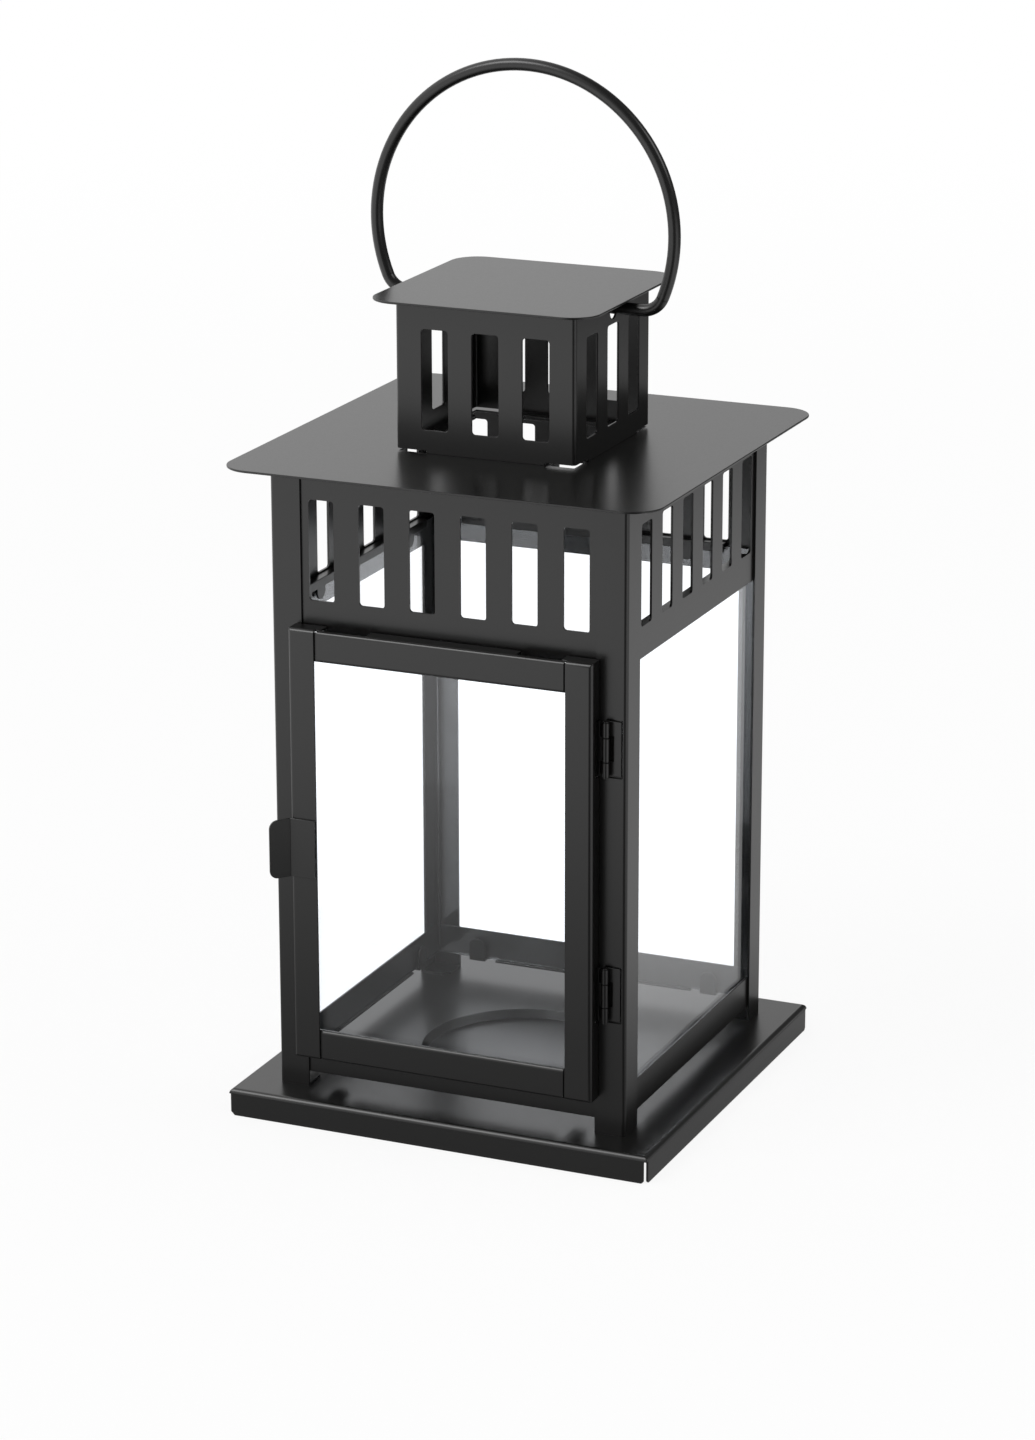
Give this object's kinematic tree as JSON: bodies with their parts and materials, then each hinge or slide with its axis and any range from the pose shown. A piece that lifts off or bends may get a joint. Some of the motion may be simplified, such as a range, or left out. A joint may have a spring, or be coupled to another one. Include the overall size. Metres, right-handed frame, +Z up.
{
  "type": "candle lantern",
  "caption": "Square candle lantern of folded black sheet steel with glass sides, a hinged glazed door, slotted friezes, a roof with a vented chimney and a swinging wire handle",
  "frame": {"origin": "middle of the underside of the base tray, on the surface the lantern stands on", "axes": "X runs to the right along the door side, Y runs to the back, Z runs up through the chimney"},
  "size_m": [0.155, 0.1557, 0.3583],
  "materials": {
    "black_coat": "satin black powder coat with a fine grain",
    "black_wire": "satin black coat on round wire, a little smoother than the sheet",
    "black_pin": "black coat over peened steel pin",
    "clear_glass": "clear float glass with ground edges",
    "magnet": "bare nickel-plated bar magnet"
  },
  "bodies": {
    "body": {"base_tray": "black_coat", "post_front_left": "black_coat", "post_front_right": "black_coat", "post_rear_left": "black_coat", "post_rear_right": "black_coat", "frieze_front": "black_coat", "frieze_rear": "black_coat", "frieze_left": "black_coat", "frieze_right": "black_coat", "sill_front": "black_coat", "sill_rear": "black_coat", "sill_left": "black_coat", "sill_right": "black_coat", "glass_retainer_rear": "black_coat", "glass_retainer_left": "black_coat", "glass_retainer_right": "black_coat", "roof_plate": "black_coat", "chimney": "black_coat", "cap_plate": "black_coat", "upper_hinge_post_leaf": "black_coat", "lower_hinge_post_leaf": "black_coat", "upper_hinge_pin": "black_pin", "lower_hinge_pin": "black_pin", "glass_rear": "clear_glass", "glass_left": "clear_glass", "glass_right": "clear_glass", "catch_magnet": "magnet"},
    "door": {"upper_hinge_door_leaf": "black_coat", "lower_hinge_door_leaf": "black_coat", "door_left_stile": "black_coat", "door_right_stile": "black_coat", "door_top_rail": "black_coat", "door_bottom_rail": "black_coat", "door_glass": "clear_glass", "pull_tab": "black_coat"},
    "handle": {"handle": "black_wire"}
  },
  "joints": [
    {"name": "door_swing", "type": "hinge", "parent": "body", "child": "door", "pos_m": [0.0575, -0.0662, 0.099], "axis": [0, 0, 1], "range_deg": [0, 135]},
    {"name": "handle_swing", "type": "hinge", "parent": "body", "child": "handle", "pos_m": [0, 0, 0.2773], "axis": [1, 0, 0], "range_deg": [-120, 120]}
  ]
}
